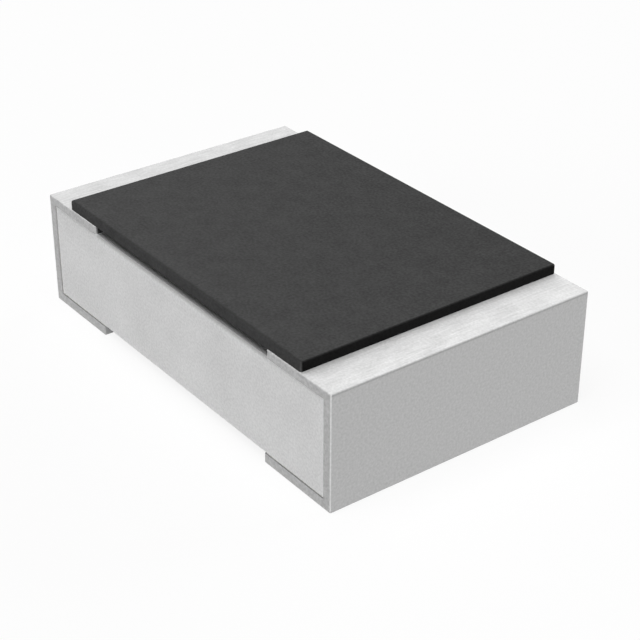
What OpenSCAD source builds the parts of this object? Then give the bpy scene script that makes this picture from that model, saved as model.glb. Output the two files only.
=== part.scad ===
// Thick-film chip resistor with a body of 2.0 x 1.25 mm, in millimetres.
// X runs along the length, Y across the width and Z up. The origin is on the seating plane,
// under the middle of the chip. A ceramic plate carries a trimmed film, which is covered by
// glass and then by a black coat. Each end is a nest of C-shaped metal layers.

/* [Chip] */
// Length over both terminations
chip_l = 2.00; // [1.50:0.05:3.20]
// Width over the terminations
chip_w = 1.25; // [0.85:0.05:2.50]
// Height from the seating plane to the top of the terminations
chip_h = 0.51; // [0.35:0.01:0.70]

/* [Terminations] */
// Length of the plated band on the top face
top_band_l = 0.385; // [0.280:0.005:0.500]
// Length of the plated band on the bottom face
bottom_band_l = 0.41; // [0.20:0.01:0.60]
// Thickness of the outer tin plating
tin_t = 0.006; // [0.004:0.001:0.012]
// Thickness of the nickel barrier under the tin
nickel_t = 0.010; // [0.005:0.001:0.015]
// Thickness of the metal on the end face of the plate
edge_electrode_t = 0.026; // [0.010:0.001:0.035]
// Radius of the outer edges of the plating
plating_r = 0.005; // [0.003:0.001:0.016]

/* [Printed electrodes] */
// Thickness of the electrodes printed on the top face
top_electrode_t = 0.020; // [0.008:0.001:0.030]
// Thickness of the electrodes printed on the bottom face
bottom_electrode_t = 0.027; // [0.008:0.001:0.035]
// Length of the tongue that runs in from the plated band and ends under the film
tongue_l = 0.14; // [0.11:0.01:0.20]
// Bare ceramic beside each tongue
tongue_margin = 0.14; // [0.05:0.01:0.20]

/* [Resistive film] */
// Thickness of the printed film
film_t = 0.010; // [0.005:0.001:0.015]
// Length of the film that lies on each tongue
film_overlap = 0.08; // [0.04:0.01:0.10]
// How far the film's sides stand in from the tongue's sides
film_side_in = 0.045; // [0.020:0.005:0.100]
// Width of the laser's trimming cut
trim_kerf = 0.040; // [0.020:0.005:0.060]

/* [Glass] */
// Thickness of the glass over the film
glass_t = 0.008; // [0.004:0.001:0.015]
// Rim of glass past the film, all round
glass_rim = 0.020; // [0.010:0.005:0.030]

/* [Coat] */
// Length of each termination's top face that the coat leaves bare
bare_end_l = 0.182; // [0.100:0.002:0.250]
// Thickness of the coat above the terminations
coat_t = 0.042; // [0.030:0.002:0.080]
// How far the coat's long sides stand in from the chip's sides
coat_side_in = 0.004; // [0.000:0.001:0.020]
// How far the coat's foot stands in from its long sides
coat_foot_in = 0.032; // [0.010:0.002:0.060]
// Radius of the coat's top and upright edges
coat_edge_r = 0.008; // [0.003:0.001:0.015]

/* [Hidden] */
$fn = 48;

// Cutting shapes run this far past what they cut
overrun = 0.1;

// The trimming cut in shares of the film: its place and its leg along the film's length,
// and its depth across the film's width
trim_place_share = -0.14;
trim_leg_share = 0.24;
trim_depth_share = 0.42;

// Depth of the nickel and of the metal films below the outer surface of a termination
nickel_depth = tin_t;
metal_depth = tin_t + nickel_t;

// The ceramic plate fills what the metal layers leave
plate_end = chip_l / 2 - metal_depth - edge_electrode_t;
plate_w = chip_w - 2 * tin_t;
plate_top = chip_h - metal_depth - top_electrode_t;
plate_bottom = metal_depth + bottom_electrode_t;

// Inner ends of the plated bands, and the tips of the tongues
top_band_end = chip_l / 2 - top_band_l;
bottom_band_end = chip_l / 2 - bottom_band_l;
tongue_end = top_band_end - tongue_l;

// Plan sizes of what is printed on the plate
tongue_w = plate_w - 2 * tongue_margin;
film_l = 2 * (tongue_end + film_overlap);
film_w = tongue_w - 2 * film_side_in;
coat_l = chip_l - 2 * bare_end_l;
coat_w = chip_w - 2 * coat_side_in;

// Rectangle on the origin with round corners, or square ones where r is zero.
module rounded_rect(l, w, r) {
    if (r > 0) {
        square([l - 2 * r, w], center = true);
        square([l, w - 2 * r], center = true);
        for (x = [-1, 1], y = [-1, 1])
            translate([x * (l / 2 - r), y * (w / 2 - r)]) circle(r);
    } else
        square([l, w], center = true);
}

// Block from z0 up to z1 with all its edges rounded, as three crossed prisms: plan_r is for
// the upright edges, and edge_r for the edges round its top and bottom faces.
module rounded_block(l, w, z0, z1, plan_r, edge_r) {
    h = z1 - z0;
    translate([0, 0, z0 + h / 2]) intersection() {
        linear_extrude(h, center = true) rounded_rect(l, w, plan_r);
        rotate([90, 0, 0]) linear_extrude(w, center = true) rounded_rect(l, h, edge_r);
        rotate([90, 0, 90]) linear_extrude(l, center = true) rounded_rect(w, h, edge_r);
    }
}

// Block centred in plan, from z0 up to z1.
module slab(l, w, z0, z1) {
    translate([-l / 2, -w / 2, z0]) cube([l, w, z1 - z0]);
}

// Puts what is drawn for the right end at either end.
module at_end(side) {
    mirror([side == "left" ? 1 : 0, 0, 0]) children();
}

// Prism of the C that wraps the right end of the plate, seen along Y. Its inner faces lie
// on the plate, and its arms stop depth short of the ends of the plated bands.
module c_prism(depth) {
    top_x = top_band_end + depth;
    bottom_x = bottom_band_end + depth;
    far_x = chip_l / 2 + overrun;
    rotate([90, 0, 0]) linear_extrude(chip_w + 2 * overrun, center = true)
        polygon([[top_x, plate_top], [top_x, chip_h + overrun],
                 [far_x, chip_h + overrun], [far_x, -overrun],
                 [bottom_x, -overrun], [bottom_x, plate_bottom],
                 [plate_end, plate_bottom], [plate_end, plate_top]]);
}

// All metal of the right end that lies deeper than depth below its outer surface.
module end_metal(depth) {
    r = max(plating_r - depth, 0);
    intersection() {
        rounded_block(chip_l - 2 * depth, chip_w - 2 * depth, depth, chip_h - depth, r, r);
        c_prism(depth);
    }
}

// The stretch of the innermost metal over the plate, from z0 up to z1.
module printed_metal(z0, z1) {
    intersection() {
        end_metal(metal_depth);
        slab(2 * plate_end, chip_w, z0, z1);
    }
}

// The tongue of the top electrode. Where it cuts its way through the plated band, it starts
// some way below the plate's top.
module tongue(below) {
    translate([tongue_end, -tongue_w / 2, plate_top - below])
        cube([plate_end - tongue_end, tongue_w, below + top_electrode_t]);
}

// Electrode on the top face: as wide as the metal under the plated band, with a narrower
// tongue that reaches under the film.
module top_electrode_shape() {
    printed_metal(plate_top, chip_h);
    tongue(0);
}

// What is printed on the plate up to a thickness t, standing rim past the film all round.
// At each end it climbs onto the tongue, and its riser there is t thick too.
module printed_stack(t, rim) {
    w = film_w + 2 * rim;
    riser_x = tongue_end - t;
    slab(2 * tongue_end, w, plate_top, plate_top + t);
    for (side = ["left", "right"]) at_end(side)
        translate([riser_x, -w / 2, plate_top])
            cube([film_l / 2 + rim - riser_x, w, top_electrode_t + t]);
}

module both_top_electrodes() {
    for (side = ["left", "right"]) at_end(side) top_electrode_shape();
}

// The laser's path: in from the film's near side, then a leg along the film.
module trim_cut() {
    start = [film_l * trim_place_share, -film_w / 2 - glass_rim - trim_kerf];
    turn = [start[0], -film_w / 2 + film_w * trim_depth_share];
    end = [turn[0] + film_l * trim_leg_share, turn[1]];
    translate([0, 0, plate_top - overrun]) linear_extrude(chip_h) {
        translate([start[0] - trim_kerf / 2, start[1]])
            square([trim_kerf, turn[1] - start[1]]);
        translate([turn[0], turn[1] - trim_kerf / 2])
            square([end[0] - turn[0], trim_kerf]);
        translate(turn) circle(d = trim_kerf);
        translate(end) circle(d = trim_kerf);
    }
}

// Plate of sintered alumina.
module ceramic_substrate() {
    color("gainsboro") slab(2 * plate_end, plate_w, plate_bottom, plate_top);
}

module resistive_film() {
    color("dimgray") difference() {
        printed_stack(film_t, 0);
        both_top_electrodes();
        trim_cut();
    }
}

module glass_passivation() {
    color("darkseagreen") difference() {
        printed_stack(film_t + glass_t, glass_rim);
        printed_stack(film_t, 0);
        both_top_electrodes();
        trim_cut();
    }
}

// The part of the coat above the terminations. Its lower edges are square.
module coat_slab() {
    top = chip_h + coat_t;
    intersection() {
        rounded_block(coat_l, coat_w, chip_h - overrun, top, coat_edge_r, coat_edge_r);
        slab(chip_l, chip_w, chip_h, top);
    }
}

// Black coat: a flat slab that reaches over the plated bands, on a foot between the bands.
// The coat moulds itself round the tongues and the glass, and fills the trimming cut.
module epoxy_overcoat() {
    color("dimgray") difference() {
        union() {
            coat_slab();
            slab(2 * top_band_end, coat_w - 2 * coat_foot_in, plate_top, chip_h);
        }
        difference() {
            printed_stack(film_t + glass_t, glass_rim);
            trim_cut();
        }
        both_top_electrodes();
    }
}

module top_electrode(side) {
    color("lightsteelblue") at_end(side) top_electrode_shape();
}

module bottom_electrode(side) {
    color("lightsteelblue") at_end(side) printed_metal(0, plate_bottom);
}

// Metal over the end face of the plate and the ends of both printed electrodes.
module edge_electrode(side) {
    color("lightslategray") at_end(side) intersection() {
        end_metal(metal_depth);
        translate([plate_end, -chip_w / 2, 0]) cube([chip_l, chip_w, chip_h]);
    }
}

module nickel_barrier(side) {
    color("darkgray") at_end(side) difference() {
        end_metal(nickel_depth);
        end_metal(metal_depth);
        tongue(overrun);
    }
}

module tin_plating(side) {
    color("silver") at_end(side) difference() {
        end_metal(0);
        end_metal(nickel_depth);
        tongue(overrun);
    }
}

ceramic_substrate();
resistive_film();
glass_passivation();
epoxy_overcoat();
top_electrode("left");  // left_top_electrode
top_electrode("right");  // right_top_electrode
bottom_electrode("left");  // left_bottom_electrode
bottom_electrode("right");  // right_bottom_electrode
edge_electrode("left");  // left_edge_electrode
edge_electrode("right");  // right_edge_electrode
nickel_barrier("left");  // left_nickel_barrier
nickel_barrier("right");  // right_nickel_barrier
tin_plating("left");  // left_tin_plating
tin_plating("right");  // right_tin_plating
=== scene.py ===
# %% [markdown]
# # A chip resistor, seen close
#
# This lesson dresses a surface-mount chip resistor of the 2.0 x 1.25 mm case, which is smaller
# than a sesame seed. Its body is a plate of white alumina. A flat coat of black epoxy lies on
# top, and tin-plated metal wraps both ends in a C. Both are less than a tenth of a millimetre
# thick. The layers that they hide are there as well.
#
# Its fine radii are only a few facets round, which is good enough for a check and too coarse
# for a close-up. So the pieces that show are made again here with fine edges, on the same
# places and sizes.

# %% Load the solid model
import math

import bpy
import numpy as np
from mathutils import Matrix, Vector


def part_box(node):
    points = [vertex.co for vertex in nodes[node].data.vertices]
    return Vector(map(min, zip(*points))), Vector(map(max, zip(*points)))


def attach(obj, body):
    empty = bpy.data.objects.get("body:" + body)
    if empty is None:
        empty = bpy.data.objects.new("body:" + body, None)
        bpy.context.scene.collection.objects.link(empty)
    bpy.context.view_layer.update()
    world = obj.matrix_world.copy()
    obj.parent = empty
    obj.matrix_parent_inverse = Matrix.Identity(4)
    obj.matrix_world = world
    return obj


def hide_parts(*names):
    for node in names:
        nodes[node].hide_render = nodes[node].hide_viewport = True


MM = 0.001

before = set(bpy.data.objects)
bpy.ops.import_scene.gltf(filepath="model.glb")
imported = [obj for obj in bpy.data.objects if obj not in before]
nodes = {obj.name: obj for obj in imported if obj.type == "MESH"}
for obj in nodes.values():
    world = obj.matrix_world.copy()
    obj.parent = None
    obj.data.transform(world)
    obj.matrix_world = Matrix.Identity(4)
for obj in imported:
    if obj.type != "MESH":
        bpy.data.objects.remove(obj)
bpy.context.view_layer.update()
print("nodes:", ", ".join(sorted(nodes)))

# %% [markdown]
# ## The camera
#
# A macro view from above one corner. The camera is given as a product photographer would
# note it: how far round the object, how far above it, how far away, and which lens. It could
# be placed by eye as well, but values with names can be changed one at a time. The point that
# it looks at lies a little off the chip's centre, because the picture is framed that way. A
# distance of 7 mm needs a near clipping plane of a fraction of a millimetre.

# %% Set up the camera
PHOTO_PX = 640
SENSOR_MM = 36

view_azimuth = math.radians(53.012)
view_elevation = math.radians(29.974)
view_roll = math.radians(0.153)
view_distance = 7.0411 * MM
view_shift_right = 0.06433 * MM
view_shift_up = 0.11596 * MM
focal_px = 1663.63


def camera_axes(azimuth, elevation, roll):
    """The camera's right, up and backward directions. Backward points from the object to the
    camera: (sin a * cos e, -cos a * cos e, sin e) for an azimuth a and an elevation e. Right
    and up are then turned by the roll about it."""
    back = Vector((math.sin(azimuth) * math.cos(elevation),
                   -math.cos(azimuth) * math.cos(elevation), math.sin(elevation)))
    level = Vector((math.cos(azimuth), math.sin(azimuth), 0))
    upright = back.cross(level)
    right = level * math.cos(roll) + upright * math.sin(roll)
    up = upright * math.cos(roll) - level * math.sin(roll)
    return right, up, back


right, up, back = camera_axes(view_azimuth, view_elevation, view_roll)
camera_data = bpy.data.cameras.new("macro_camera")
camera_data.sensor_width = SENSOR_MM
camera_data.lens = focal_px / PHOTO_PX * SENSOR_MM
camera_data.clip_start, camera_data.clip_end = 0.1 * MM, 1000 * MM
camera = bpy.data.objects.new("macro_camera", camera_data)
place = back * view_distance + right * view_shift_right + up * view_shift_up
camera.matrix_world = Matrix.Translation(place) @ Matrix((right, up, back)).transposed().to_4x4()
bpy.context.collection.objects.link(camera)
bpy.context.scene.camera = camera
bpy.context.scene.view_settings.view_transform = "Standard"
print("lens", round(camera_data.lens, 2), "mm, camera at", [round(v / MM, 3) for v in place], "mm")

# %% [markdown]
# ## Colours and nodes
#
# Colours are written as sRGB hex values, as a paint chart gives them, and one function turns
# them into the linear light that the shaders count in. A second function adds a shader node
# with its settings and its links, so that a material reads as a short list.
#
# A Mix node has sockets of the same name for each kind of data, so they are told apart by
# their numbers. The factor comes first, then a pair of plain numbers, and further on a pair
# of colours. The colour is its third output.

# %% Helpers for nodes
FACTOR, FIRST_NUMBER, SECOND_NUMBER, FIRST_COLOUR, SECOND_COLOUR = 0, 2, 3, 6, 7
COLOUR_OUT = 2


def linear(hex_colour):
    """sRGB hex to linear RGBA: c / 12.92 near black, and ((c + 0.055) / 1.055) ** 2.4 above."""
    parts = [int(hex_colour[i:i + 2], 16) / 255 for i in (1, 3, 5)]
    return [c / 12.92 if c <= 0.04045 else ((c + 0.055) / 1.055) ** 2.4 for c in parts] + [1]


def add(tree, kind, values=None, links=None, **settings):
    """Adds one node. Settings are its own properties, values go on its input sockets, and
    links join its input sockets to other nodes' outputs."""
    node = tree.nodes.new(kind)
    for name, setting in settings.items():
        setattr(node, name, setting)
    for socket, value in (values or {}).items():
        node.inputs[socket].default_value = value
    for socket, output in (links or {}).items():
        tree.links.new(output, node.inputs[socket])
    return node


def new_material(name):
    """An empty node material and its tree."""
    material = bpy.data.materials.new(name)
    material.use_nodes = True
    material.node_tree.nodes.clear()
    return material, material.node_tree


print("the middle grey #808080 is", round(linear("#808080")[0], 3), "in linear light")

# %% [markdown]
# ## Floor and light
#
# Small electronics are shot on white, under large soft lights. The white of the background
# could come from stronger lamps, but they would wash out the chip's pale ceramic too. So the
# floor and the world glow instead, for the rays that show them: straight to the camera, in a
# reflection or through glass. For the soft light that bounces about, the floor is only a
# plain grey card and the world a very weak fill light. The card's own diffuse shade is added
# to the floor's glow, and that is where the chip's shadow falls.
#
# What the metal mirrors has levels of its own. The ceiling over a light tent is brighter than
# its floor, so the top of the chip, which mirrors the ceiling, is brighter than its ends.

# %% Make the floor and the world
floor_half = 250 * MM
floor_glow, floor_in_mirror, floor_grey = 0.87, 0.41, 0.12
sky_glow, sky_in_mirror, fill_light = 1.0, 1.624, 0.016


def level_by_ray(tree, to_eye, in_mirror, other):
    """One level for camera rays, one for glossy and transmission rays, and one for others."""
    rays = add(tree, "ShaderNodeLightPath").outputs
    mirrored = add(tree, "ShaderNodeMath", operation="MAXIMUM",
                   links={0: rays["Is Glossy Ray"], 1: rays["Is Transmission Ray"]})
    bounced = add(tree, "ShaderNodeMapRange", values={"To Min": other, "To Max": in_mirror},
                  links={"Value": mirrored.outputs[0]})
    level = add(tree, "ShaderNodeMix", data_type="FLOAT", values={SECOND_NUMBER: to_eye},
                links={FACTOR: rays["Is Camera Ray"], FIRST_NUMBER: bounced.outputs[0]})
    return level.outputs[0]


floor_material, tree = new_material("pale_backdrop_paper")
emission = add(tree, "ShaderNodeEmission",
               links={"Strength": level_by_ray(tree, floor_glow, floor_in_mirror, 0)})
diffuse = add(tree, "ShaderNodeBsdfDiffuse", values={"Color": [floor_grey] * 3 + [1]})
both = add(tree, "ShaderNodeAddShader", links={0: emission.outputs[0], 1: diffuse.outputs[0]})
add(tree, "ShaderNodeOutputMaterial", links={"Surface": both.outputs[0]})

corners = [(-floor_half, -floor_half, 0), (floor_half, -floor_half, 0),
           (floor_half, floor_half, 0), (-floor_half, floor_half, 0)]
floor_mesh = bpy.data.meshes.new("floor")
floor_mesh.from_pydata(corners, [], [(0, 1, 2, 3)])
floor_mesh.materials.append(floor_material)
floor = bpy.data.objects.new("floor", floor_mesh)
bpy.context.collection.objects.link(floor)

world = bpy.data.worlds.new("white_room")
world.use_nodes = True
tree = world.node_tree
tree.nodes.clear()
white = add(tree, "ShaderNodeBackground", values={"Color": (1, 1, 1, 1)},
            links={"Strength": level_by_ray(tree, sky_glow, sky_in_mirror, fill_light)})
add(tree, "ShaderNodeOutputWorld", links={"Surface": white.outputs[0]})
bpy.context.scene.world = world
print("floor", 2 * floor_half / MM, "mm wide")

# %% [markdown]
# Three square softboxes do the rest. The key light hangs almost straight above and lights the
# top. Light that steep can't get in under the coat's edge, which gives the soft shadow along
# it. The other two are a pair that stands low, in front of one long side and behind the
# other, and the ends get almost none of their light. A softbox lights nothing behind itself,
# and nearer ones would leave the floor there a darker grey, so they stand by the floor's
# edges. All three carry a polarising sheet, so the metal mirrors the tent and not the lamps.
#
# A lamp's power is worked out from the level wanted. A softbox of power P at distance D
# lights a white card that faces it to P / (pi * D) ** 2, where 1 shows a colour as written.

# %% Place the softboxes


def softbox(name, towards, distance, size, level):
    """A square lamp at a distance in a direction from the chip, aimed at it, that metal
    doesn't mirror. Its power is level * (pi * distance) ** 2."""
    lamp = bpy.data.lights.new(name, "AREA")
    lamp.shape, lamp.size = "SQUARE", size
    lamp.energy = level * (math.pi * distance) ** 2
    holder = bpy.data.objects.new(name, lamp)
    direction = Vector(towards).normalized()
    holder.location = direction * distance
    holder.rotation_euler = direction.to_track_quat("Z", "Y").to_euler()
    holder.visible_glossy = False
    bpy.context.collection.objects.link(holder)
    print(name, "power", round(lamp.energy * 1000, 3), "mW")


softbox("key_softbox", (0.0, -0.25, 1.0), distance=60 * MM, size=50 * MM, level=0.89)
for name, towards_y in (("front_softbox", -1.0), ("rear_softbox", 1.0)):
    softbox(name, (0.0, towards_y, 0.18), distance=240 * MM, size=160 * MM, level=0.695)

# %% [markdown]
# ## Sizes from the solids
#
# What follows is placed by the solids' own sizes, in millimetres. Most of them come from the
# solids' boxes. The box of a termination tells how long its lower arm is, because that is the
# longer one. Its corners above the plate tell how long the upper arm is.

# %% Read the main sizes


def box_mm(node):
    """Lowest and highest corner of a solid, in millimetres, free of rounding noise."""
    low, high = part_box(node)
    return np.round(np.array(low) / MM, 4), np.round(np.array(high) / MM, 4)


def points_mm(node):
    """The corners of a solid's mesh, in millimetres, free of rounding noise."""
    mesh = nodes[node].data
    points = np.empty(len(mesh.vertices) * 3)
    mesh.vertices.foreach_get("co", points)
    return np.round(points.reshape(-1, 3) / MM, 4)


plate_low, plate_high = box_mm("ceramic_substrate")
coat_low, coat_high = box_mm("epoxy_overcoat")
tin_low, tin_high = box_mm("right_tin_plating")
chip_end, chip_side, chip_top = tin_high
bottom_band_end = tin_low[0]
tin_corners = points_mm("right_tin_plating")
top_band_end = tin_corners[tin_corners[:, 2] > plate_high[2], 0].min()
print("chip ends at", chip_end, "and its bands at", top_band_end, "and", bottom_band_end, "mm")

# %% [markdown]
# ## Patterns
#
# All the grain is Blender noise on Object coordinates. A picture of real ceramic would show
# seams at the edges, while this noise runs right through the chip and fits on every side.
# Object coordinates are in metres, so a blotch of a given size needs a scale of one over that
# size. Noise values crowd round one half. Their middle stretch is spread to the full range,
# so that the grain shows even between two colours that lie close together.
#
# The crystals of the real ceramic and tin, and the epoxy's filler, are a few thousandths of a
# millimetre across. A pixel of the picture is about as wide, so they wouldn't show. They are
# drawn as coarse as they need to be, about a hundredth of a millimetre.

# %% Helpers for patterns
NOISE_LOW, NOISE_HIGH = 0.3, 0.7


def per_size(size_mm):
    """Noise scale at which one blotch is about this many millimetres across."""
    return 1 / (size_mm * MM)


def grain(tree, size_mm, detail=2.0, drawn_out=(1, 1, 1)):
    """Noise of a blotch size, from 0 to 1. drawn_out makes it longer along each axis."""
    coords = add(tree, "ShaderNodeTexCoord").outputs["Object"]
    scale = [per_size(size_mm) / longer for longer in drawn_out]
    placed = add(tree, "ShaderNodeMapping", values={"Scale": scale}, links={"Vector": coords})
    noise = add(tree, "ShaderNodeTexNoise", values={"Scale": 1.0, "Detail": detail},
                links={"Vector": placed.outputs[0]})
    spread = add(tree, "ShaderNodeMapRange", links={"Value": noise.outputs["Fac"]},
                 values={"From Min": NOISE_LOW, "From Max": NOISE_HIGH})
    return spread.outputs[0]


print("grain of 0.01 mm has a noise scale of", round(per_size(0.01)))

# %% [markdown]
# A finish starts as a colour that goes from dark to light with its grain. Where the real chip
# is worn, stained or dusty, another colour is painted over it. Masks say where: a mask is 1
# on the places it stands for and 0 away from them. Several masks are multiplied, so that only
# the places in all of them are painted. A second material on those faces would do as well,
# but it would stop at a hard edge, and a mask can fade out.

# %% Helpers for finishes
MICRON = 0.001 * MM


def two_tone(tree, dark, light, fine, coarse=None, share=0.0):
    """A colour that goes from dark to light with a fine pattern, or with a fine and a coarse
    one mixed: fine * (1 - share) + coarse * share."""
    pattern = fine
    if coarse is not None:
        pattern = add(tree, "ShaderNodeMix", data_type="FLOAT", values={FACTOR: share},
                      links={FIRST_NUMBER: fine, SECOND_NUMBER: coarse}).outputs[0]
    mixed = add(tree, "ShaderNodeMix", data_type="RGBA", links={FACTOR: pattern},
                values={FIRST_COLOUR: linear(dark), SECOND_COLOUR: linear(light)})
    return mixed.outputs[COLOUR_OUT]


def painted_over(tree, under, over, mask, *more_masks):
    """One colour where the product of the masks is 0, and another where it is 1."""
    for other in more_masks:
        mask = add(tree, "ShaderNodeMath", operation="MULTIPLY",
                   links={0: mask, 1: other}).outputs[0]
    mixed = add(tree, "ShaderNodeMix", data_type="RGBA",
                links={FACTOR: mask, FIRST_COLOUR: under, SECOND_COLOUR: over})
    return mixed.outputs[COLOUR_OUT]


def surface(tree, colour, relief, depth, **settings):
    """A Principled surface with a colour and a relief. depth is how deep the relief is, and
    settings go on sockets with underlines for blanks."""
    bump = add(tree, "ShaderNodeBump", values={"Strength": 1.0, "Distance": depth},
               links={"Height": relief})
    values = {name.replace("_", " "): value for name, value in settings.items()}
    shader = add(tree, "ShaderNodeBsdfPrincipled", values=values,
                 links={"Base Color": colour, "Normal": bump.outputs[0]})
    add(tree, "ShaderNodeOutputMaterial", links={"Surface": shader.outputs[0]})
    print(len(tree.nodes), "nodes in the finish")


# %% [markdown]
# ## Alumina
#
# The plate is 96 percent alumina, cast as a thin sheet, fired, and snapped along scored
# lines. It is dull white, with a fine grain and the faint cloudiness of a fired sheet, and it
# shines only weakly. Between the plated bands, the soft shadow that the coat's overhang
# casts in the slot and down the plate's long rims is painted into the plate's colour: a
# painted shade, darkest towards the coat's foot, paler towards the rims, and fading out about
# 0.02 mm below them. Ramps along the three axes say where it lies.

# %% Material: sintered alumina
slot_shadow_down = 0.021
rim_depth = 0.022
slot_shadow_start, slot_shadow_full = top_band_end + 0.003, top_band_end - 0.009


def ramp(tree, axis, start_mm, end_mm, both_ways=False):
    """0 up to one place along an axis, 1 from another one on, and a soft ramp between them. It
    runs the other way where the end comes before the start. With both_ways, the places are
    distances from the middle, on either side of it."""
    coords = add(tree, "ShaderNodeTexCoord").outputs["Object"]
    place = add(tree, "ShaderNodeSeparateXYZ", links={"Vector": coords}).outputs[axis]
    if both_ways:
        place = add(tree, "ShaderNodeMath", operation="ABSOLUTE", links={0: place}).outputs[0]
    mapped = add(tree, "ShaderNodeMapRange", links={"Value": place},
                 values={"From Min": start_mm * MM, "From Max": end_mm * MM})
    return mapped.outputs[0]


alumina, tree = new_material("sintered_alumina")
crystals = grain(tree, 0.010, detail=3.0)
cloud = grain(tree, 0.20)
fired = two_tone(tree, "#d8d8d8", "#f3f3f3", crystals, cloud, share=0.3)
# Painted shadow of the coat's overhang: darker at the coat's foot, paler at the plate's rims.
shade_at_foot = two_tone(tree, "#7d7d7d", "#8d8d8d", crystals)
shade_at_rim = two_tone(tree, "#a4a4a4", "#b4b4b4", crystals)
slot_shadow = painted_over(tree, shade_at_foot, shade_at_rim,
                     ramp(tree, "Y", plate_high[1] - rim_depth, plate_high[1], both_ways=True))
ceramic = painted_over(tree, fired, slot_shadow,
                       ramp(tree, "Z", plate_high[2] - slot_shadow_down, plate_high[2]),
                       ramp(tree, "X", slot_shadow_start, slot_shadow_full, both_ways=True))
surface(tree, ceramic, relief=crystals, depth=0.15 * MICRON,
        Roughness=0.7, Specular_IOR_Level=0.2)

# %% [markdown]
# ## Shapes from numbers
#
# Each shape below is worked out in millimetres as whole arrays, and turned to metres at the
# end. Most of them are an outline carried along a path. The outline comes back smaller near
# the path's ends, by just what a round edge takes off: at the angle a round an edge of
# radius r, the outline is drawn in by r * (1 - cos a) and has moved on by r * sin a. A Bevel
# modifier on a block would be quicker to set up. It is not used, because here some edges of
# a shape are round and their neighbours are sharp, and an outline can say so point by point.

# %% Helpers for shapes


def object_from(name, points, faces):
    """A new object at the origin from points in millimetres and faces. The points stay in
    millimetres until finish_piece."""
    mesh = bpy.data.meshes.new(name)
    mesh.from_pydata(np.asarray(points, float).tolist(), [], faces)
    mesh.update()
    piece = bpy.data.objects.new(name, mesh)
    bpy.context.collection.objects.link(piece)
    return piece


def carried(name, sections):
    """A closed shape from outlines that follow each other. sections is an array of
    (outline, point, xyz). Side faces join each outline to the next, and the first and the
    last one are filled."""
    count, around = sections.shape[:2]
    index = np.arange(count * around).reshape(count, around)
    here, there = index[:-1], index[1:]
    sides = np.stack([here, np.roll(here, -1, 1), np.roll(there, -1, 1), there], -1)
    faces = sides.reshape(-1, 4).tolist() + [index[0][::-1].tolist(), index[-1].tolist()]
    return object_from(name, sections.reshape(-1, 3), faces)


def edge_steps(radius, steps):
    """How far an outline is drawn in, radius * (1 - cos a), and how far it has moved on,
    radius * (1 - sin a), for angles a from 90 degrees at the start of a round edge down to 0
    at the full outline."""
    angle = np.linspace(np.pi / 2, 0, steps + 1)
    return radius * (1 - np.cos(angle)), radius * (1 - np.sin(angle))


def round_rectangles(half_x, half_y, radius, heights, steps):
    """Outlines of rectangles with round corners, one at each height. Each corner is a quarter
    circle round a centre that lies one radius in from both sides. Half sizes and radii are
    arrays with a value for each outline."""
    angle = np.linspace(0, np.pi / 2, steps + 1)
    turns = (np.arange(4)[:, None] * np.pi / 2 + angle).ravel()
    side_x = np.repeat([1, -1, -1, 1], steps + 1)
    side_y = np.repeat([1, 1, -1, -1], steps + 1)
    half_x, half_y, radius, heights = (v[:, None] for v in (half_x, half_y, radius, heights))
    return np.stack([side_x * (half_x - radius) + radius * np.cos(turns),
                     side_y * (half_y - radius) + radius * np.sin(turns),
                     heights + 0 * turns], -1)


print("a round edge draws an outline in by", edge_steps(1.0, 3)[0].round(3), "of its radius")

# %% [markdown]
# A finished piece has flat faces that look flat and round edges that look smooth. The facets
# of a round edge turn by 30 degrees at most, so an edge that turns further is a real one and
# stays sharp. The rest is shaded smooth, by the faces' areas. The areas are weighed while they
# are in square millimetres, because in square metres they are too small to weigh.

# %% Helpers to finish a piece
SHARP_ABOVE = math.radians(32)


def apply_modifiers(piece):
    """Replaces a piece's mesh by what its modifiers make of it."""
    scene_now = bpy.context.evaluated_depsgraph_get()
    made = bpy.data.meshes.new_from_object(piece.evaluated_get(scene_now))
    piece.modifiers.clear()
    piece.data = made


def finish_piece(piece, material, node):
    """Shades a piece, turns its points to metres, and hands it to the frame."""
    piece.data.shade_smooth()
    piece.data.set_sharp_from_angle(angle=SHARP_ABOVE)
    weigh = piece.modifiers.new("even_shading", "WEIGHTED_NORMAL")
    weigh.keep_sharp = True
    apply_modifiers(piece)
    piece.data.transform(Matrix.Scale(MM, 4))
    piece.data.materials.clear()
    piece.data.materials.append(material)
    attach(piece, "root")
    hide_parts(node)
    print(piece.name, len(piece.data.polygons), "faces")


# %% [markdown]
# The plate itself is a plain block whose edges have lost about two thousandths of a
# millimetre where it was snapped and tumbled. It is a rounded rectangle carried up.

# %% Make the plate
plate_edge = 0.002


def round_block(name, low, high, radius, steps):
    """A block with every edge round, centred in plan: a rounded rectangle carried up, drawn
    in through the round edge at both ends."""
    drawn_in, moved = edge_steps(radius, steps)
    draws = np.concatenate([drawn_in, drawn_in[::-1]])
    heights = np.concatenate([low[2] + moved, (high[2] - moved)[::-1]])
    return carried(name, round_rectangles(high[0] - draws, high[1] - draws, radius - draws,
                                          heights, steps))


plate = round_block("alumina_plate", plate_low, plate_high, plate_edge, steps=3)
finish_piece(plate, alumina, "ceramic_substrate")

# %% [markdown]
# ## Black epoxy
#
# The coat is screen-printed epoxy with a black filler, cured matte. It is nearly black and
# takes a weak, wide shine. The filler leaves a fine grain, and the print a faint unevenness
# that shows only where a light grazes it. Its other tones are painted light and shade. It is
# painted a little paler towards the near long side, a painted light that fades towards the
# far one. Its two end walls carry a painted shade that makes them blacker than the rest, and
# so does the round of its long top edges, where the lamps would light it more. The upright
# edges carry a painted highlight. The surface's normal tells faces and edges apart, so these
# tones follow the shape by themselves.

# %% Helpers for faces and edges


def facing(tree, axis):
    """How squarely the surface faces along an axis, either way, from 0 to 1: the size of
    that part of its normal."""
    normal = add(tree, "ShaderNodeTexCoord").outputs["Normal"]
    part = add(tree, "ShaderNodeSeparateXYZ", links={"Vector": normal}).outputs[axis]
    return add(tree, "ShaderNodeMath", operation="ABSOLUTE", links={0: part}).outputs[0]


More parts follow.
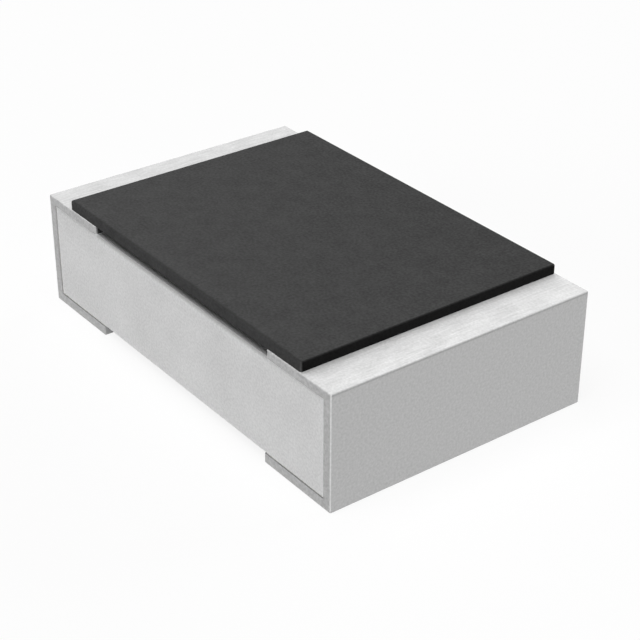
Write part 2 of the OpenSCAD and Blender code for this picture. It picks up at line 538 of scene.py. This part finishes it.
def edges_between(tree, one, other):
    """The round edges between the faces along one axis and those along another: twice the
    product of both parts of the normal, which is 1 halfway round and 0 on every face."""
    product = add(tree, "ShaderNodeMath", operation="MULTIPLY",
                  links={0: facing(tree, one), 1: facing(tree, other)})
    return add(tree, "ShaderNodeMath", operation="MULTIPLY", values={1: 2.0},
               links={0: product.outputs[0]}).outputs[0]


# %% Material: matte black epoxy
edge_shade_start, edge_shade_full = coat_high[1] - 0.016, coat_high[1] - 0.007

epoxy, tree = new_material("matte_black_epoxy")
filler = grain(tree, 0.011, detail=3.0)
print_marks = grain(tree, 0.09)
uneven = (filler, print_marks, 0.3)

# Painted light: paler towards the near long side, darker towards the far one.
far_side_shade = two_tone(tree, "#292929", "#3f3f3f", *uneven)
near_side_light = two_tone(tree, "#333333", "#474747", *uneven)
black = painted_over(tree, far_side_shade, near_side_light, ramp(tree, "Y", coat_high[1], coat_low[1]))
# Painted shade: the end walls are painted blacker, for the little light that reaches them.
end_wall_shade = two_tone(tree, "#0b0b0b", "#1b1b1b", *uneven)
black = painted_over(tree, black, end_wall_shade, facing(tree, "X"))
# Painted shade on the round of the long top edges, where the lamps would light it.
top_edge_shade = two_tone(tree, "#292929", "#393939", *uneven)
black = painted_over(tree, black, top_edge_shade, facing(tree, "Z"),
                     ramp(tree, "Y", edge_shade_start, edge_shade_full, both_ways=True))
# Painted highlight on the upright edges of the coat.
corner_highlight = two_tone(tree, "#4c4c4c", "#606060", *uneven)
black = painted_over(tree, black, corner_highlight, edges_between(tree, "X", "Y"))
surface(tree, black, relief=filler, depth=0.2 * MICRON, Roughness=0.6, Specular_IOR_Level=0.05)

# %% [markdown]
# The coat is a flat slab that lies over the plated bands, on a foot that fills the space
# between them. The slab is a rounded rectangle carried up, with a round top edge and a square
# lower one. Its corners are a little rounder than its top edge, so that a drawn-in outline
# still has corners left. The foot is a plain block that stands well in from the slab's long
# sides. The slot that this leaves catches a soft shadow. Underneath, the coat has set round
# the film, its glass and the two tongues of metal. Those shapes could be worked out again,
# but the solids have them already, so copies of the solids are cut out of the coat.

# %% Helpers to cut shapes


def cut(piece, cutter, operation="DIFFERENCE"):
    """Cuts one shape out of another, or joins them, and deletes the second one."""
    change = piece.modifiers.new("cut", "BOOLEAN")
    change.operation, change.solver, change.object = operation, "MANIFOLD", cutter
    apply_modifiers(piece)
    bpy.data.objects.remove(cutter)


def solid_copy(node):
    """A copy of a solid in millimetres, with its loose triangles joined. Triangles that have
    shrunk to a line are left out."""
    unique, where = np.unique(points_mm(node), axis=0, return_inverse=True)
    loops = nodes[node].data.loops
    corners = np.empty(len(loops), int)
    loops.foreach_get("vertex_index", corners)
    triangles = where.ravel()[corners].reshape(-1, 3)
    a, b, c = triangles.T
    whole = (a != b) & (b != c) & (a != c)
    return object_from(node + "_copy", unique, triangles[whole].tolist())


# %% Make the coat
coat_corner = 0.009
coat_edge = 0.008
foot_in = 0.032


def coat_slab(name, steps):
    """A slab with upright sides and a round top edge: the full outline twice, and then drawn
    in step by step."""
    drawn_in, moved = edge_steps(coat_edge, steps)
    draws = np.concatenate([[0], drawn_in[::-1]])
    heights = np.concatenate([[chip_top], (coat_high[2] - moved)[::-1]])
    return carried(name, round_rectangles(coat_high[0] - draws, coat_high[1] - draws,
                                          coat_corner - draws, heights, steps))


def plain_block(name, low, high):
    """A block with sharp edges between two corners."""
    xs, ys = [low[0], high[0], high[0], low[0]], [low[1], low[1], high[1], high[1]]
    rows = [np.stack([xs, ys, [z] * 4], -1) for z in (low[2], high[2])]
    return carried(name, np.array(rows))


coat = coat_slab("black_coat", steps=6)
foot_half = coat_high[1] - foot_in
foot = plain_block("coat_foot", (-top_band_end, -foot_half, coat_low[2]),
                   (top_band_end, foot_half, chip_top))
cut(coat, foot, "UNION")
for inner in ("resistive_film", "glass_passivation", "left_top_electrode",
              "right_top_electrode"):
    cut(coat, solid_copy(inner))
finish_piece(coat, epoxy, "epoxy_overcoat")

# %% [markdown]
# ## Matte tin
#
# The outer metal is electroplated matte tin, a silver-white metal with a soft, wide
# reflection. It is finely grained all over, and its tone changes from place to place:
#
# - The top face is cloudier than the rest, with faint marks across the chip: a noise drawn
#   out along Y. The left end's top is a shade darker than the right end's, a painted
#   reflection that is dimmer there.
# - The narrow faces on the long sides are painted a little darker, a painted shade.
# - The upright edges of the ends carry a painted highlight, and a painted shade makes a soft
#   darker line along the ends just under their top edges.
# - Where the top bands end at the coat's foot, a painted highlight lies on their rims, and
#   further in a painted shadow of the coat's overhang makes them black.
# - The ledge that the plating leaves under the plate's lower edge carries a painted shade, a
#   dark line along the joint. Neither a ramp nor a normal tells it from the faces beside it,
#   so the mesh carries a mark for it.

# %% Material: matte tin
shade_line_start, shade_line_full = chip_top - 0.012, chip_top - 0.008
highlight_start, highlight_full = chip_end - 0.012, chip_end - 0.010
inner_end, past_inner_end = top_band_end + 0.001, top_band_end + 0.002
band_shadow_start, band_shadow_full = plate_high[1], plate_high[1] - 0.009

tin, tree = new_material("matte_tin_plating")
crystals = grain(tree, 0.010, detail=3.0)
clouds = add(tree, "ShaderNodeMix", data_type="FLOAT", values={FACTOR: 0.6},
             links={FIRST_NUMBER: grain(tree, 0.10),
                    SECOND_NUMBER: grain(tree, 0.010, drawn_out=(1, 12, 1))}).outputs[0]

metal = two_tone(tree, "#c4c4c4", "#d1d1d1", crystals)
right_top = two_tone(tree, "#bbbbbb", "#dcdcdc", crystals, clouds, share=0.6)
# Painted reflection: the left end's top is painted dimmer than the right end's.
left_top_dim_reflection = two_tone(tree, "#b5b5b5", "#d5d5d5", crystals, clouds, share=0.6)
top = painted_over(tree, right_top, left_top_dim_reflection, ramp(tree, "X", top_band_end, -top_band_end))
metal = painted_over(tree, metal, top, facing(tree, "Z"))
# Painted shade on the narrow faces of the long sides.
side_shade = two_tone(tree, "#b3b3b3", "#d2d2d2", crystals, clouds, share=0.3)
metal = painted_over(tree, metal, side_shade, facing(tree, "Y"))

# Painted shade: a soft darker line along the ends just under their top edges.
shade_line = two_tone(tree, "#b2b2b2", "#bfbfbf", crystals)
metal = painted_over(tree, metal, shade_line, facing(tree, "X"),
                     ramp(tree, "Z", shade_line_start, shade_line_full))
# Painted highlight: on the upright edges of the ends, and on the rims of the band ends.
painted_highlight = two_tone(tree, "#e2e2e2", "#ececec", crystals)
metal = painted_over(tree, metal, painted_highlight, edges_between(tree, "X", "Y"),
                     ramp(tree, "X", highlight_start, highlight_full, both_ways=True))

# The band ends under the coat: a painted highlight on their rims, a painted shadow further in.
band_end = (ramp(tree, "Z", plate_low[2], plate_high[2]),
            ramp(tree, "X", past_inner_end, inner_end, both_ways=True))
metal = painted_over(tree, metal, painted_highlight, *band_end, facing(tree, "X"))
# Painted shadow of the coat's overhang on the band ends.
coat_shadow_on_band = two_tone(tree, "#545454", "#626262", crystals)
metal = painted_over(tree, metal, coat_shadow_on_band, *band_end,
                     ramp(tree, "Y", band_shadow_start, band_shadow_full, both_ways=True))

# Painted shade: a dark line on the ledge along the joint under the plate.
joint_shade = two_tone(tree, "#8a8a8a", "#9c9c9c", crystals)
ledge = add(tree, "ShaderNodeAttribute", attribute_name="ledge").outputs["Fac"]
metal = painted_over(tree, metal, joint_shade, ledge)
surface(tree, metal, relief=crystals, depth=0.1 * MICRON, Metallic=1.0, Roughness=0.8)

# %% [markdown]
# Each termination is a C seen from the side. It could be cut out of a rounded box, but then
# it would be hard to keep the edge against the ceramic sharp. Here its outline follows the
# outer face with round corners and comes back along the plate. It is carried across the chip,
# and near both sides only its outer stretch is drawn in, because the plating is round there
# and square where it meets the ceramic. The layers under the tin are then cut out, so what
# stays is a shell.

# %% Helpers for the terminations
plating_round = 0.005


def arc(centre_x, centre_z, radius, first, last, steps):
    """Points of an arc, centre + radius * (cos a, sin a), for a from one angle to another in
    degrees."""
    angle = np.radians(np.linspace(first, last, steps + 1))
    return np.stack([centre_x + radius * np.cos(angle), centre_z + radius * np.sin(angle)], -1)


def c_outline(drawn_in, steps):
    """The C in X and Z, anticlockwise from the inner corner of the lower arm: out along the
    bottom, up the end, back along the top, and home along the plate. Only its outer stretch
    moves when it is drawn in."""
    high_z = chip_top - drawn_in
    reach = plating_round - drawn_in
    near_x = chip_end - plating_round
    return np.concatenate([
        [[bottom_band_end + drawn_in, plate_low[2]]],
        arc(bottom_band_end + plating_round, plating_round, reach, 180, 270, steps),
        arc(near_x, plating_round, reach, -90, 0, steps),
        arc(near_x, chip_top - plating_round, reach, 0, 90, steps),
        [[top_band_end + drawn_in, high_z], [top_band_end + drawn_in, plate_high[2]],
         [plate_high[0], plate_high[2]], [plate_high[0], plate_low[2]]]])


def termination(name, side, steps=8):
    """The C carried from one long side to the other, at the right end for side 1 and at the
    left end for side -1."""
    drawn_in, moved = edge_steps(plating_round, steps)
    draws = np.concatenate([drawn_in, drawn_in[::-1]])
    across = np.concatenate([moved - chip_side, (chip_side - moved)[::-1]])
    rows = []
    for draw, y in zip(draws, across):
        x, z = c_outline(draw, steps).T
        rows.append(np.stack([side * x, np.full(len(x), y), z], -1))
    rows = np.array(rows)
    return carried(name, rows if side < 0 else rows[:, ::-1])


# %% Make the terminations
LEDGE_TOLERANCE = 0.0005


def mark_ledge(piece):
    """Marks the ledge of the lower arm beside the plate: faces at the height of the plate's
    underside, outside its long sides. The mark is an attribute of the faces."""
    count = len(piece.data.polygons)
    centres = np.empty(count * 3)
    piece.data.polygons.foreach_get("center", centres)
    _, y, z = np.abs(centres.reshape(-1, 3)).T
    on_ledge = (y > plate_high[1]) & (np.abs(z - plate_low[2]) < LEDGE_TOLERANCE)
    mark = piece.data.attributes.new("ledge", "FLOAT", "FACE")
    mark.data.foreach_set("value", on_ledge.astype(np.float32))
    print(piece.name, int(on_ledge.sum()), "ledge faces")


for side, end in ((-1, "left"), (1, "right")):
    shell = termination(end + "_tin_shell", side)
    for inner in ("_nickel_barrier", "_edge_electrode", "_top_electrode", "_bottom_electrode"):
        cut(shell, solid_copy(end + inner))
    mark_ledge(shell)
    finish_piece(shell, tin, end + "_tin_plating")

# %% [markdown]
# ## The hidden layers
#
# The layers under the coat and inside the terminations never show, so their plain solids
# stay as they are. Each gets the look of what it is made of all the same: fired silver and
# palladium, a silver-filled dip, plated nickel, a fired film of ruthenium oxide, and glass.

# %% Materials of the hidden layers
fired_silver, tree = new_material("fired_silver_palladium")
powder = grain(tree, 0.012, detail=3.0)
surface(tree, two_tone(tree, "#cfcdc6", "#dedcd6", powder), relief=powder, depth=0.4 * MICRON,
        Metallic=1.0, Roughness=0.5)

silver_dip, tree = new_material("silver_filled_dip")
flakes = grain(tree, 0.006, detail=3.0)
surface(tree, two_tone(tree, "#a9a8a5", "#bdbcb8", flakes), relief=flakes, depth=0.5 * MICRON,
        Metallic=1.0, Roughness=0.6)

nickel, tree = new_material("plated_nickel")
nodules = grain(tree, 0.005)
surface(tree, two_tone(tree, "#c2bcb0", "#cdc8bd", nodules), relief=nodules,
        depth=0.2 * MICRON, Metallic=1.0, Roughness=0.35)

film, tree = new_material("ruthenium_oxide_film")
frit = grain(tree, 0.008, detail=3.0)
surface(tree, two_tone(tree, "#343436", "#424244", frit), relief=frit, depth=0.3 * MICRON,
        Roughness=0.55)

glass, tree = new_material("passivation_glass")
swirl = grain(tree, 0.05)
surface(tree, two_tone(tree, "#84997f", "#90a58b", swirl), relief=swirl, depth=0.2 * MICRON,
        Roughness=0.12)

# %% Dress the hidden layers
hidden = {"resistive_film": film, "glass_passivation": glass}
for end in ("left", "right"):
    hidden[end + "_top_electrode"] = hidden[end + "_bottom_electrode"] = fired_silver
    hidden[end + "_edge_electrode"] = silver_dip
    hidden[end + "_nickel_barrier"] = nickel
for name, material in hidden.items():
    nodes[name].data.materials.clear()
    nodes[name].data.materials.append(material)
print("hidden layers:", len(hidden))
